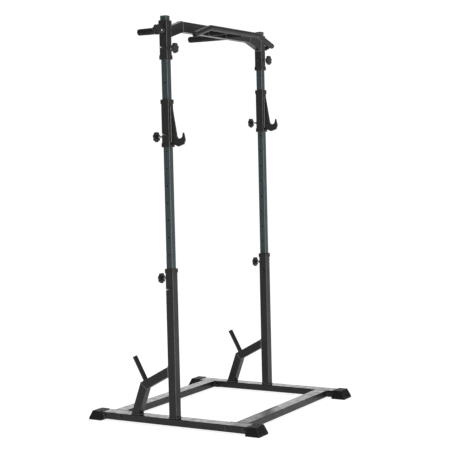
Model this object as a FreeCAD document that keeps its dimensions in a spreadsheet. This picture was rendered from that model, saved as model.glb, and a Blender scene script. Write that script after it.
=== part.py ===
import FreeCAD, Part
import math
import os
import Sketcher
from FreeCAD import Placement, Rotation, Vector

# Power cage: two telescoping uprights on a wide base, with two hooks for a barbell
# and a pull-up unit on top. Millimetres. X is across, -Y the lifter's side, +Z up.
# The origin lies on the floor at the middle of the base.

SIZES = [
    ("half_track", 550, "middle plane to post centre"),
    ("rail_wide", 80, "base tube, wide side"),
    ("rail_tall", 40, "base tube, low side"),
    ("rail_base", 10, "floor to underside of the base tubes"),
    ("rail_length", 1076, "side rail"),
    ("base_wall", 2.5, "wall of the base tubes"),
    ("corner", 3, "corner radius of the square tubes"),
    ("cross_reach", 408, "middle to centre of a cross-member"),
    ("plate_thick", 6, "end plate of a cross-member"),
    ("plate_long", 140, "end plate along the rail"),
    ("bolt_reach", 55, "cross-member centre to bolt"),
    ("bolt_wide", 10, "base bolt"),
    ("bolt_hole", 10.8, "hole for a base bolt"),
    ("hex_wide", 17, "across flats of bolt head and nut"),
    ("head_thick", 6.5, "bolt head"),
    ("nut_thick", 8, "nut"),
    ("bolt_spare", 4, "thread beyond the nut"),
    ("sole_thick", 10, "foot sole"),
    ("foot_wide", 104, "foot across at the sole"),
    ("foot_top_wide", 92, "foot across at the top"),
    ("foot_near", 480, "sole, inner edge"),
    ("foot_far", 567, "sole, outer edge"),
    ("foot_top_near", 488, "top of the foot, inner edge"),
    ("foot_top_far", 544, "top of the foot, outer edge"),
    ("foot_tall", 53, "floor to top of the foot"),
    ("groove_wide", 8, "groove in the end of a foot"),
    ("groove_deep", 4, "groove in the end of a foot"),
    ("groove_pitch", 27, "groove to groove"),
    ("post_wide", 50, "lower post, hook sleeve and top sleeve"),
    ("post_wall", 2.5, "their wall"),
    ("post_top", 890, "floor to top of the lower post"),
    ("mast_wide", 40, "inner mast"),
    ("mast_wall", 2, "its wall"),
    ("mast_base", 634, "floor to foot of the mast tube"),
    ("mast_top", 2300, "floor to top of the mast tube"),
    ("cap_thick", 4, "mast cap and guide plug"),
    ("plug_long", 18, "part of a plug inside its tube"),
    ("plug_play", 0.2, "play of a plug in its tube"),
    ("hole_first", 687, "lowest hole of the mast"),
    ("hole_pitch", 96, "hole to hole"),
    ("hole_count", 14, "holes in the mast below the top sleeve"),
    ("mast_hole", 11, "hole in the mast"),
    ("sleeve_hole", 10.5, "pin hole in posts and sleeves"),
    ("collar_wide", 56, "bushing collar"),
    ("collar_skirt", 18, "collar over the tube"),
    ("collar_flange", 6, "collar beyond the tube end"),
    ("collar_edge", 2.5, "chamfer of the collar"),
    ("liner_wide", 44.8, "bushing inside the tube"),
    ("liner_bore", 40.4, "bushing round the mast"),
    ("liner_long", 38, "bushing inside the tube"),
    ("pin_wide", 10, "locking pin"),
    ("pin_out", 32, "pin end beyond the outer face"),
    ("pin_head", 18, "head of the pin"),
    ("pin_head_thick", 7, "head of the pin"),
    ("pin_gap", 0.5, "head to the inner face"),
    ("pin_edge", 1.5, "chamfer of the pin"),
    ("boss_wide", 20, "threaded boss"),
    ("boss_long", 10, "threaded boss"),
    ("boss_bore", 12.1, "its bore"),
    ("screw_wide", 12, "clamping screw"),
    ("screw_gap", 0.2, "screw tip to the mast"),
    ("screw_pass", 13.2, "hole in the wall for the screw"),
    ("knob_wide", 58, "star knob"),
    ("knob_thick", 16, "star knob"),
    ("knob_lobes", 7, "scallops of the star knob"),
    ("scallop_wide", 20, "scallop"),
    ("scallop_reach", 35, "knob axis to scallop centre"),
    ("knob_edge", 2.5, "rounding of the knob"),
    ("hub_wide", 24, "hub of the knob"),
    ("hub_long", 9, "hub of the knob"),
    ("knob_hold", 12, "screw inside knob and hub"),
    ("post_pin_level", 783, "floor to post pin"),
    ("post_knob_level", 840, "floor to post knob"),
    ("post_knob_reach", 67, "post axis to middle of the knob"),
    ("hook_left_level", 1647, "floor to the left hook's pin"),
    ("hook_right_level", 1743, "floor to the right hook's pin"),
    ("hook_below", 66, "hook pin to foot of the sleeve tube"),
    ("hook_above", 188, "hook pin to top of the sleeve tube"),
    ("hook_knob_drop", 13, "hook pin down to the knob"),
    ("hook_knob_reach", 76, "mast axis to middle of the knob"),
    ("hook_thick", 10, "hook plate"),
    ("hook_root", 158, "hook pin to top of the plate"),
    ("hook_step", 47, "hook pin down to the collar recess"),
    ("hook_seat_reach", 79, "mast axis to middle of the seat"),
    ("hook_seat_wide", 38, "seat for the barbell"),
    ("hook_seat_drop", 25, "hook pin down to the seat"),
    ("hook_lip", 15, "hook pin up to the tip of the lip"),
    ("hook_heel", 70, "hook pin down to the heel"),
    ("top_pin_level", 2127, "floor to pin of the top sleeve"),
    ("top_knob_level", 2122, "floor to knob of the top sleeve"),
    ("top_knob_reach", 62, "mast axis to middle of the knob"),
    ("side_knob_level", 2222, "floor to the side knob of the top sleeve"),
    ("side_knob_reach", 82, "mast axis to middle of the side knob"),
    ("top_base", 2067, "floor to foot of the top sleeve tube"),
    ("top_end", 2272, "floor to top of the top sleeve tube"),
    ("beam_level", 2255, "floor to axis of the beam"),
    ("beam_tall", 60, "beam"),
    ("beam_deep", 40, "beam"),
    ("beam_wall", 2, "beam"),
    ("beam_kink", 393, "middle to kink of the beam"),
    ("beam_slope", 16.5, "fall of the beam ends, degrees"),
    ("bar_wide", 32, "front bar"),
    ("bar_wall", 2.5, "front bar"),
    ("bar_reach", 136, "beam axis to front bar"),
    ("bar_level", 2250, "floor to axis of the front bar"),
    ("bar_kink", 285, "middle to bend of the front bar"),
    ("bar_tip", 450, "middle to tip of the front bar"),
    ("bar_tip_level", 2200, "floor to tip of the front bar"),
    ("bar_bend", 60, "bend radius of the front bar"),
    ("bar_plug_wide", 31, "end plug of the front bar"),
    ("bar_plug_long", 12, "end plug of the front bar"),
    ("bar_plug_edge", 4, "rounding of the end plug"),
    ("handle_wide", 22, "core of every handle"),
    ("handle_reach", 100, "middle to inner handle"),
    ("handle_level", 2240, "floor to inner handle"),
    ("handle_grip", 30, "foam of the inner handles"),
    ("rear_reach", 282.5, "middle to rear handle"),
    ("rear_level", 2260, "floor to rear handle"),
    ("rear_tip", 356, "beam axis to the end of a rear handle"),
    ("rear_grip", 40, "foam of the rear handles"),
    ("rear_end", 36, "end cap of a rear handle"),
    ("flange_wide", 44, "plate of a rear handle"),
    ("flange_thick", 5, "plate of a rear handle"),
    ("tip_thick", 4, "end cap of a peg or handle"),
    ("bracket_wide", 50, "bracket tube"),
    ("bracket_wall", 2.5, "bracket tube"),
    ("knee_reach", 195.5, "post axis to knee of the bracket"),
    ("knee_level", 221.5, "floor to knee of the bracket"),
    ("lower_lean", 20, "lower leg off upright, degrees"),
    ("upper_rise", 28.4, "upper leg above level, degrees"),
    ("peg_wide", 28, "weight peg"),
    ("peg_wall", 3, "weight peg"),
    ("peg_long", 146, "weight peg"),
    ("peg_up", 25, "knee corner to peg along the upper leg"),
]

LEFT, RIGHT = -1, 1
REAR, FRONT = 1, -1
TURNS = {REAR: "0", FRONT: "180", "left": "90", "right": "-90"}
X_AXIS, Y_AXIS, Z_AXIS = Vector(1, 0, 0), Vector(0, 1, 0), Vector(0, 0, 1)

doc = FreeCAD.newDocument("power_cage")
dims = doc.addObject("Spreadsheet::Sheet", "Dims")
nodes = []


def fill_sheet():
    for row, (alias, size, note) in enumerate(SIZES, start=1):
        dims.set(f"A{row}", note)
        dims.set(f"B{row}", str(size))
        dims.setAlias(f"B{row}", alias)
    doc.recompute()


# ---- helpers: formulas are text, with every size by its name in the sheet ----


def number(formula):
    found = dims.evalExpression(formula)
    return float(getattr(found, "Value", found))


def plane(body, role):
    return next(f for f in body.Origin.OriginFeatures if f.Role == role)


def new_body(name):
    body = doc.addObject("PartDesign::Body", name)
    body.Label = name
    nodes.append(body)
    return body


def place(item, x="0", y="0", z="0", axis=Z_AXIS, turn="0"):
    """Put a sub-part at a point, turned about an axis."""
    item.Placement = Placement(Vector(0, 0, 0), Rotation(axis, number(turn)))
    item.setExpression("Placement.Base.x", x)
    item.setExpression("Placement.Base.y", y)
    item.setExpression("Placement.Base.z", z)


def new_sketch(body, role, middle):
    sketch = body.newObject("Sketcher::SketchObject", f"{body.Name}_sketch")
    sketch.AttachmentSupport = [(plane(body, role), "")]
    sketch.MapMode = "FlatFace"
    sketch.setExpression("AttachmentOffset.Base.z", middle)
    return sketch


def hold(sketch, kind, element, point, formula):
    """Tie one coordinate of a point to a formula."""
    link = Sketcher.Constraint(kind, -1, 1, element, point, number(formula))
    index = sketch.addConstraint(link)
    sketch.setExpression(f"Constraints[{index}]", formula)


def draw_outline(sketch, corners):
    """Closed outline of straight edges through corners given by formulas."""
    first = sketch.GeometryCount
    at = [Vector(number(u), number(v), 0) for u, v in corners]
    count = len(at)
    for i in range(count):
        sketch.addGeometry(Part.LineSegment(at[i], at[(i + 1) % count]))
    for i in range(count):
        after = first + (i + 1) % count
        sketch.addConstraint(Sketcher.Constraint("Coincident", first + i, 2, after, 1))
    for i, (u, v) in enumerate(corners):
        hold(sketch, "DistanceX", first + i, 1, u)
        hold(sketch, "DistanceY", first + i, 1, v)


def draw_circle(sketch, u, v, wide):
    at = Vector(number(u), number(v), 0)
    index = sketch.addGeometry(Part.Circle(at, Vector(0, 0, 1), number(wide) / 2))
    hold(sketch, "DistanceX", index, 3, u)
    hold(sketch, "DistanceY", index, 3, v)
    size = sketch.addConstraint(Sketcher.Constraint("Diameter", index, number(wide)))
    sketch.setExpression(f"Constraints[{size}]", wide)


def rectangle(u, v, wide, tall):
    """Corners of a rectangle about a middle point."""
    left, right = f"{u} - ({wide}) / 2", f"{u} + ({wide}) / 2"
    low, high = f"{v} - ({tall}) / 2", f"{v} + ({tall}) / 2"
    return [(left, low), (right, low), (right, high), (left, high)]


def hexagon(u, v, flats):
    """Corners of a hexagon about a middle point."""
    size = f"{flats} / sqrt(3)"
    turns = range(0, 360, 60)
    return [(f"{u} + {size} * cos({a})", f"{v} + {size} * sin({a})") for a in turns]


def extrude(body, kind, role, middle, thick, outlines=(), circles=()):
    """Pad or pocket of equal depth on both sides of a plane."""
    sketch = new_sketch(body, role, middle)
    for corners in outlines:
        draw_outline(sketch, corners)
    for u, v, wide in circles:
        draw_circle(sketch, u, v, wide)
    step = body.newObject(f"PartDesign::{kind}", f"{body.Name}_{kind}")
    step.Profile = sketch
    step.SideType = "Symmetric"
    step.setExpression("Length", thick)
    doc.recompute()
    body.Tip = step
    return step


def pad(body, role, middle, thick, outlines=(), circles=()):
    return extrude(body, "Pad", role, middle, thick, outlines, circles)


def cut(body, role, middle, thick, outlines=(), circles=()):
    before = body.Shape.Volume
    step = extrude(body, "Pocket", role, middle, thick, outlines, circles)
    if not step.Shape.Volume < before - 1:
        raise RuntimeError(f"{step.Name} removes nothing")
    return step


def edges_where(step, test):
    """Names of the straight or round edges that pass a test."""
    edges = enumerate(step.Shape.Edges, start=1)
    return [f"Edge{i}" for i, edge in edges if test(edge)]


def runs_along(edge, axis):
    if not isinstance(edge.Curve, Part.Line):
        return False
    return abs(edge.Curve.Direction.dot(axis)) > 0.999


def dress(body, kind, size, test):
    """Fillet or chamfer on the edges of the last step that pass a test."""
    base = body.Tip
    names = edges_where(base, test)
    step = body.newObject(f"PartDesign::{kind}", f"{body.Name}_{kind}")
    step.Base = (base, names)
    step.setExpression("Radius" if kind == "Fillet" else "Size", size)
    doc.recompute()
    body.Tip = step
    return step


def round_along(body, axis, radius):
    return dress(body, "Fillet", radius, lambda edge: runs_along(edge, axis))


def mirror(body, role):
    step = body.newObject("PartDesign::Mirrored", f"{body.Name}_Mirrored")
    step.TransformMode = "Whole shape"
    step.MirrorPlane = (plane(body, role), [""])
    body.Tip = step
    doc.recompute()
    return step


def square_tube(body, u, v, low, high, wide, wall):
    """Upright square tube with rounded corners."""
    middle, length = f"({low} + {high}) / 2", f"{high} - ({low})"
    pad(body, "XY_Plane", middle, length, [rectangle(u, v, wide, wide)])
    round_along(body, Z_AXIS, "Dims.corner")
    inside = f"{wide} - 2 * {wall}"
    cut(body, "XY_Plane", middle, f"{length} + 2", [rectangle(u, v, inside, inside)])


# ---- base ----

NEAR_X = "-Dims.half_track"
RAIL_MIDDLE = "(Dims.rail_base + Dims.rail_tall / 2)"
RAIL_TOP = "(Dims.rail_base + Dims.rail_tall)"
RAIL_INNER = "(Dims.half_track - Dims.rail_wide / 2)"
BOLT_ROWS = [
    "-Dims.cross_reach - Dims.bolt_reach",
    "-Dims.cross_reach + Dims.bolt_reach",
]


def base_tube(body, role, u, length, axis):
    """Flat rectangular tube of the base, rounded and left solid."""
    section = rectangle(u, RAIL_MIDDLE, "Dims.rail_wide", "Dims.rail_tall")
    pad(body, role, "0", length, [section])
    round_along(body, axis, "Dims.corner")


def base_bore(body, role, u, length):
    wide = "Dims.rail_wide - 2 * Dims.base_wall"
    tall = "Dims.rail_tall - 2 * Dims.base_wall"
    cut(body, role, "0", f"{length} + 20", [rectangle(u, RAIL_MIDDLE, wide, tall)])


def bolt_holes(body):
    """Holes for the bolts of one cross-member, along X."""
    holes = [(row, RAIL_MIDDLE, "Dims.bolt_hole") for row in BOLT_ROWS]
    cut(body, "YZ_Plane", "0", "4 * Dims.half_track", circles=holes)


def make_side_rails():
    body = new_body("side_rails")
    base_tube(body, "XZ_Plane", NEAR_X, "Dims.rail_length", Vector(0, 1, 0))
    base_bore(body, "XZ_Plane", NEAR_X, "Dims.rail_length")
    bolt_holes(body)
    rows = [row.replace("-Dims.cross_reach", "Dims.cross_reach") for row in BOLT_ROWS]
    holes = [(row, RAIL_MIDDLE, "Dims.bolt_hole") for row in rows]
    cut(body, "YZ_Plane", "0", "4 * Dims.half_track", circles=holes)
    mirror(body, "YZ_Plane")


def make_cross_members():
    body = new_body("cross_members")
    length = f"2 * ({RAIL_INNER} - Dims.plate_thick)"
    base_tube(body, "YZ_Plane", "-Dims.cross_reach", length, X_AXIS)
    plate = rectangle("-Dims.cross_reach", RAIL_MIDDLE, "Dims.plate_long", "Dims.rail_tall")
    for side in ("", "-"):
        middle = f"{side}({RAIL_INNER} - Dims.plate_thick / 2)"
        pad(body, "YZ_Plane", middle, "Dims.plate_thick", [plate])
    base_bore(body, "YZ_Plane", "-Dims.cross_reach", f"2 * {RAIL_INNER}")
    bolt_holes(body)
    mirror(body, "XZ_Plane")


def make_base_bolts():
    body = new_body("base_bolts")
    face = "-(Dims.half_track + Dims.rail_wide / 2)"
    heads = [hexagon(row, RAIL_MIDDLE, "Dims.hex_wide") for row in BOLT_ROWS]
    pad(body, "YZ_Plane", f"{face} - Dims.head_thick / 2", "Dims.head_thick", heads)
    shanks = [(row, RAIL_MIDDLE, "Dims.bolt_wide") for row in BOLT_ROWS]
    reach = "(Dims.rail_wide + Dims.plate_thick + Dims.nut_thick + Dims.bolt_spare)"
    pad(body, "YZ_Plane", f"{face} + {reach} / 2", reach, circles=shanks)
    mirror(body, "XZ_Plane")
    mirror(body, "YZ_Plane")


def make_base_nuts():
    body = new_body("base_nuts")
    middle = f"-{RAIL_INNER} + Dims.plate_thick + Dims.nut_thick / 2"
    nuts = [hexagon(row, RAIL_MIDDLE, "Dims.hex_wide") for row in BOLT_ROWS]
    pad(body, "YZ_Plane", middle, "Dims.nut_thick", nuts)
    bores = [(row, RAIL_MIDDLE, "Dims.bolt_wide + 0.1") for row in BOLT_ROWS]
    cut(body, "YZ_Plane", middle, "Dims.nut_thick + 2", circles=bores)
    mirror(body, "XZ_Plane")
    mirror(body, "YZ_Plane")


def foot_section(wide, near, far):
    return rectangle(NEAR_X, f"-({near} + {far}) / 2", wide, f"{far} - {near}")


def make_feet():
    """Rubber caps that flare from the rail ends down to a wider sole."""
    body = new_body("feet")
    sole = foot_section("Dims.foot_wide", "Dims.foot_near", "Dims.foot_far")
    pad(body, "XY_Plane", "Dims.sole_thick / 2", "Dims.sole_thick", [sole])
    lower = new_sketch(body, "XY_Plane", "Dims.sole_thick")
    draw_outline(lower, sole)
    upper = new_sketch(body, "XY_Plane", "Dims.foot_tall")
    crown = foot_section("Dims.foot_top_wide", "Dims.foot_top_near", "Dims.foot_top_far")
    draw_outline(upper, crown)
    flare = body.newObject("PartDesign::AdditiveLoft", "feet_flare")
    flare.Profile = lower
    flare.Sections = [upper]
    doc.recompute()
    body.Tip = flare
    rail = rectangle(NEAR_X, RAIL_MIDDLE, "Dims.rail_wide", "Dims.rail_tall")
    depth = "(Dims.rail_length / 2 - Dims.foot_near)"
    cut(body, "XZ_Plane", f"Dims.rail_length / 2 - {depth} / 2", depth, [rail])
    for place_in_row in (-1, 0, 1):
        middle = f"{NEAR_X} + {place_in_row} * Dims.groove_pitch"
        cut(body, "YZ_Plane", middle, "Dims.groove_wide", [groove_outline()])
    mirror(body, "YZ_Plane")
    mirror(body, "XZ_Plane")


def groove_outline():
    """Groove that follows the slope of the foot's end."""
    run = "(Dims.foot_far - Dims.foot_top_far) / (Dims.foot_tall - Dims.sole_thick)"
    low, high = "(Dims.sole_thick + 5)", "(Dims.foot_tall - 5)"
    inner = "-Dims.foot_far + Dims.groove_deep + ({} - Dims.sole_thick) * " + run
    outside = "-Dims.foot_far - 5"
    return [
        (outside, low),
        (inner.format(low), low),
        (inner.format(high), high),
        (outside, high),
    ]


def make_lower_posts():
    body = new_body("lower_posts")
    square_tube(body, NEAR_X, "0", RAIL_TOP, "Dims.post_top", "Dims.post_wide", "Dims.post_wall")
    pin = ("0", "Dims.post_pin_level", "Dims.sleeve_hole")
    cut(body, "YZ_Plane", NEAR_X, "2 * Dims.post_wide", circles=[pin])
    screw = (NEAR_X, "Dims.post_knob_level", "Dims.screw_pass")
    cut(body, "XZ_Plane", "-Dims.post_wide / 2", "Dims.post_wall * 4", circles=[screw])
    mirror(body, "YZ_Plane")


def bracket_outline(half, floor, face):
    """Outline of the two mitred legs, half a width either side of their axis."""
    lean, rise = "Dims.lower_lean", "Dims.upper_rise"
    mitre = f"({half}) / (1 + sin({lean} + {rise}))"
    knee_y = "Dims.knee_reach {} " + f"{mitre} * (cos({lean}) + sin({rise}))"
    knee_z = "Dims.knee_level {} " + f"{mitre} * (sin({lean}) + cos({rise}))"
    foot = f"Dims.knee_reach + (Dims.knee_level - ({floor})) * tan({lean})"
    head = f"Dims.knee_level + (Dims.knee_reach - ({face})) * tan({rise})"
    return [
        (f"{foot} - ({half}) / cos({lean})", floor),
        (f"{foot} + ({half}) / cos({lean})", floor),
        (knee_y.format("+"), knee_z.format("+")),
        (face, f"{head} + ({half}) / cos({rise})"),
        (face, f"{head} - ({half}) / cos({rise})"),
        (knee_y.format("-"), knee_z.format("-")),
    ]


def make_plate_brackets():
    body = new_body("plate_brackets")
    face = "Dims.post_wide / 2"
    outer = bracket_outline("Dims.bracket_wide / 2", RAIL_TOP, face)
    pad(body, "YZ_Plane", NEAR_X, "Dims.bracket_wide", [outer])

    def along_leg(edge):
        middle = edge.BoundBox.Center
        on_side = abs(abs(middle.x + number("Dims.half_track")) - 25) < 0.1
        at_end = abs(edge.Curve.Direction.y) > 0.999 or abs(edge.Curve.Direction.z) > 0.999
        return on_side and not at_end

    dress(body, "Fillet", "Dims.corner", along_leg)
    inside = "Dims.bracket_wide / 2 - Dims.bracket_wall"
    inner = bracket_outline(inside, f"{RAIL_TOP} - 5", f"{face} - 5")
    cut(body, "YZ_Plane", NEAR_X, "Dims.bracket_wide - 2 * Dims.bracket_wall", [inner])
    mirror(body, "YZ_Plane")


def place_on_bracket(item):
    """Stand a sub-part on the upper leg, square to it."""
    lean, rise = "Dims.lower_lean", "Dims.upper_rise"
    mitre = f"Dims.bracket_wide / 2 / (1 + sin({lean} + {rise}))"
    y = f"Dims.knee_reach + {mitre} * (cos({lean}) + sin({rise})) - Dims.peg_up * cos({rise})"
    z = f"Dims.knee_level + {mitre} * (sin({lean}) + cos({rise})) + Dims.peg_up * sin({rise})"
    place(item, "0", y, z, X_AXIS, f"-{rise}")


def both_sides(v, wide):
    return [(NEAR_X, v, wide), ("Dims.half_track", v, wide)]


def make_weight_pegs():
    body = new_body("weight_pegs")
    pad(body, "XY_Plane", "Dims.peg_long / 2", "Dims.peg_long", circles=both_sides("0", "Dims.peg_wide"))
    bore = both_sides("0", "Dims.peg_wide - 2 * Dims.peg_wall")
    cut(body, "XY_Plane", "Dims.peg_long / 2", "Dims.peg_long + 2", circles=bore)
    place_on_bracket(body)


def make_peg_caps():
    body = new_body("peg_caps")
    middle = "Dims.peg_long + Dims.tip_thick / 2"
    pad(body, "XY_Plane", middle, "Dims.tip_thick", circles=both_sides("0", "Dims.peg_wide"))
    dress(body, "Fillet", "1.5", lambda edge: edge.BoundBox.ZMin > number("Dims.peg_long") + 1)
    plug = "Dims.peg_wide - 2 * Dims.peg_wall - Dims.plug_play"
    middle = "Dims.peg_long - Dims.plug_long / 2"
    pad(body, "XY_Plane", middle, "Dims.plug_long", circles=both_sides("0", plug))
    place_on_bracket(body)


# ---- pieces that posts, hooks and top sleeves have in common ----


def bushing(body, u, end, sense):
    """Plastic collar and liner on a tube end; sense is + for a top end, - for a foot."""
    back = "-" if sense == "+" else "+"
    outer = [rectangle(u, "0", "Dims.collar_wide", "Dims.collar_wide")]
    skirt = [rectangle(u, "0", "Dims.post_wide", "Dims.post_wide")]
    liner = [rectangle(u, "0", "Dims.liner_wide", "Dims.liner_wide")]
    bore = [rectangle(u, "0", "Dims.liner_bore", "Dims.liner_bore")]
    whole = "(Dims.collar_skirt + Dims.collar_flange)"
    middle = f"{end} {sense} Dims.collar_flange {back} {whole} / 2"
    pad(body, "XY_Plane", middle, whole, outer)
    round_along(body, Z_AXIS, "Dims.corner + 1")
    rim = number(f"{end} {sense} Dims.collar_flange")

    def on_rim(edge):
        box = edge.BoundBox
        return abs(box.ZMin - rim) < 0.1 and abs(box.ZMax - rim) < 0.1

    dress(body, "Chamfer", "Dims.collar_edge", on_rim)
    middle = f"{end} {back} Dims.collar_skirt / 2"
    cut(body, "XY_Plane", middle, "Dims.collar_skirt", skirt)
    whole = "(Dims.liner_long + Dims.collar_flange - 1)"
    middle = f"{end} {sense} (Dims.collar_flange - 1) {back} {whole} / 2"
    pad(body, "XY_Plane", middle, whole, liner)
    middle = f"{end} {back} Dims.liner_long / 2"
    cut(body, "XY_Plane", middle, "3 * Dims.liner_long", bore)
    return body


def make_post_bushings():
    body = new_body("post_bushings")
    bushing(body, NEAR_X, "Dims.post_top", "+")
    mirror(body, "YZ_Plane")


def boss(body, u, level, facing):
    """Threaded boss on the wall of a tube, its axis along Y."""
    sense = "-" if facing == REAR else ""
    middle = f"{sense}(Dims.post_wide + Dims.boss_long) / 2"
    pad(body, "XZ_Plane", middle, "Dims.boss_long", circles=[(u, level, "Dims.boss_wide")])
    cut(body, "XZ_Plane", middle, "2 * Dims.boss_long", circles=[(u, level, "Dims.boss_bore")])


def make_post_bosses():
    body = new_body("post_bosses")
    boss(body, NEAR_X, "Dims.post_knob_level", REAR)
    mirror(body, "YZ_Plane")


def make_knob(name, side, facing, level, reach):
    """Star knob with its screw, pointing away from the tube."""
    turn = TURNS[facing]
    x = f"{side} * Dims.half_track"
    star = new_body(f"knob_{name}")
    pad(star, "XZ_Plane", f"-{reach}", "Dims.knob_thick", circles=[("0", "0", "Dims.knob_wide")])
    scallop = [("0", "Dims.scallop_reach", "Dims.scallop_wide")]
    cut(star, "XZ_Plane", f"-{reach}", "2 * Dims.knob_thick", circles=scallop)
    ring = star.newObject("PartDesign::PolarPattern", f"{star.Name}_lobes")
    ring.Originals = [star.Tip]
    ring.Axis = (plane(star, "Y_Axis"), [""])
    ring.Angle = 360
    ring.setExpression("Occurrences", "Dims.knob_lobes")
    star.Tip = ring
    doc.recompute()
    dress(star, "Fillet", "Dims.knob_edge", lambda edge: edge.BoundBox.YLength < 0.1)
    middle = f"-({reach} - (Dims.knob_thick + Dims.hub_long) / 2)"
    pad(star, "XZ_Plane", middle, "Dims.hub_long", circles=[("0", "0", "Dims.hub_wide")])
    start = f"({reach} - Dims.knob_thick / 2 - Dims.hub_long)"
    bore = [("0", "0", "Dims.screw_wide")]
    cut(star, "XZ_Plane", f"-({start} + Dims.knob_hold / 2)", "Dims.knob_hold", circles=bore)
    place(star, x, "0", level, Z_AXIS, turn)

    screw = new_body(f"screw_{name}")
    tip = "(Dims.mast_wide / 2 + Dims.screw_gap)"
    length = f"({start} + Dims.knob_hold - {tip})"
    pad(screw, "XZ_Plane", f"-({tip} + {length} / 2)", length, circles=bore)
    near_tip = number(tip) + 1
    dress(screw, "Chamfer", "1", lambda edge: edge.BoundBox.YMax < near_tip)
    place(screw, x, "0", level, Z_AXIS, turn)


def make_pin(name, side, level):
    """Locking pin with a head on the inner side, sliding along X."""
    body = new_body(f"pin_{name}")
    half = "Dims.post_wide / 2"
    length = f"(Dims.pin_out + Dims.post_wide + Dims.pin_gap + 1)"
    middle = f"-{half} - Dims.pin_out + {length} / 2"
    pad(body, "YZ_Plane", middle, length, circles=[("0", "0", "Dims.pin_wide")])
    tip = number(f"-{half} - Dims.pin_out") + 1
    dress(body, "Chamfer", "Dims.pin_edge", lambda edge: edge.BoundBox.XMax < tip)
    middle = f"{half} + Dims.pin_gap + Dims.pin_head_thick / 2"
    pad(body, "YZ_Plane", middle, "Dims.pin_head_thick", circles=[("0", "0", "Dims.pin_head")])
    head = number(f"{half} + Dims.pin_gap + Dims.pin_head_thick") - 1
    dress(body, "Chamfer", "Dims.pin_edge", lambda edge: edge.BoundBox.XMin > head)
    turn = "0" if side == LEFT else "180"
    place(body, f"{side} * Dims.half_track", "0", level, Z_AXIS, turn)


# ---- masts ----


def make_masts():
    body = new_body("masts")
    square_tube(body, NEAR_X, "0", "Dims.mast_base", "Dims.mast_top", "Dims.mast_wide", "Dims.mast_wall")
    first = ("0", "Dims.hole_first", "Dims.mast_hole")
    hole = cut(body, "YZ_Plane", NEAR_X, "2 * Dims.mast_wide", circles=[first])
    row = body.newObject("PartDesign::LinearPattern", "masts_holes")
    row.Originals = [hole]
    row.Direction = (plane(body, "Z_Axis"), [""])
    row.setExpression("Length", "Dims.hole_pitch * (Dims.hole_count - 1)")
    row.setExpression("Occurrences", "Dims.hole_count")
    body.Tip = row
    held = ("0", "Dims.top_pin_level", "Dims.mast_hole")
    spare = ("0", "Dims.top_pin_level + Dims.hole_pitch", "Dims.mast_hole")
    cut(body, "YZ_Plane", NEAR_X, "2 * Dims.mast_wide", circles=[held, spare])
    doc.recompute()
    mirror(body, "YZ_Plane")


def make_mast_end(name, end, sense):
    """Plastic plug in a mast end; sense is + for the top, - for the foot."""
    body = new_body(name)
    back = "-" if sense == "+" else "+"
    whole = [rectangle(NEAR_X, "0", "Dims.mast_wide", "Dims.mast_wide")]
    inner = "Dims.mast_wide - 2 * Dims.mast_wall - Dims.plug_play"
    plug = [rectangle(NEAR_X, "0", inner, inner)]
    pad(body, "XY_Plane", f"{end} {sense} Dims.cap_thick / 2", "Dims.cap_thick", whole)
    round_along(body, Z_AXIS, "Dims.corner")
    rim = number(f"{end} {sense} Dims.cap_thick")
    dress(body, "Chamfer", "1", lambda edge: flat_at(edge, rim))
    pad(body, "XY_Plane", f"{end} {back} Dims.plug_long / 2", "Dims.plug_long", plug)
    mirror(body, "YZ_Plane")


def flat_at(edge, level):
    box = edge.BoundBox
    return abs(box.ZMin - level) < 0.1 and abs(box.ZMax - level) < 0.1


# ---- barbell hooks: heights are counted from the hook's pin ----


def hook_outline():
    """Side view of the hook plate, with the seat cut square for its fillets."""
    face = "-Dims.post_wide / 2"
    back = "-Dims.hook_seat_reach + Dims.hook_seat_wide / 2"
    front = "-Dims.hook_seat_reach - Dims.hook_seat_wide / 2"
    step = "-Dims.collar_wide / 2 - 0.5"
    return [
        (face, "Dims.hook_root"),
        (f"{face} - 8", "Dims.hook_root"),
        (f"{face} - 20", "Dims.hook_root - 74"),
        (back, "-6"),
        (back, "-Dims.hook_seat_drop"),
        (front, "-Dims.hook_seat_drop"),
        (front, "-6"),
        (f"{front} - 6", "Dims.hook_lip"),
        (f"{front} - 17", "-35"),
        (f"{front} - 7", "-58"),
        (f"{back} - 9", "-Dims.hook_heel"),
        (f"{back} + 15", "-59"),
        (step, "-59"),
        (step, "-Dims.hook_step"),
        (face, "-Dims.hook_step"),
    ]


def make_hook_plate(name):
    body = new_body(f"hook_plate_{name}")
    pad(body, "YZ_Plane", "0", "Dims.hook_thick", [hook_outline()])
    reach, seat = number("-Dims.hook_seat_reach"), number("-Dims.hook_seat_drop")

    def in_seat(edge):
        middle = edge.BoundBox.Center
        return runs_along(edge, X_AXIS) and abs(middle.z - seat) < 0.1 and abs(middle.y - reach) < 20

    dress(body, "Fillet", "Dims.hook_seat_wide / 2 - 0.5", in_seat)
    heel = number("-Dims.hook_seat_reach - 10")
    low = number("-Dims.hook_step") - 13

    def at_tip(edge):
        middle = edge.BoundBox.Center
        outside = middle.y < heel - 8 and not -24 < middle.z < 0
        below = middle.z < low or middle.z < low + 3 and middle.y < heel - 20
        return runs_along(edge, X_AXIS) and (outside or below)

    dress(body, "Fillet", "2.5", at_tip)
    return body


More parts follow.
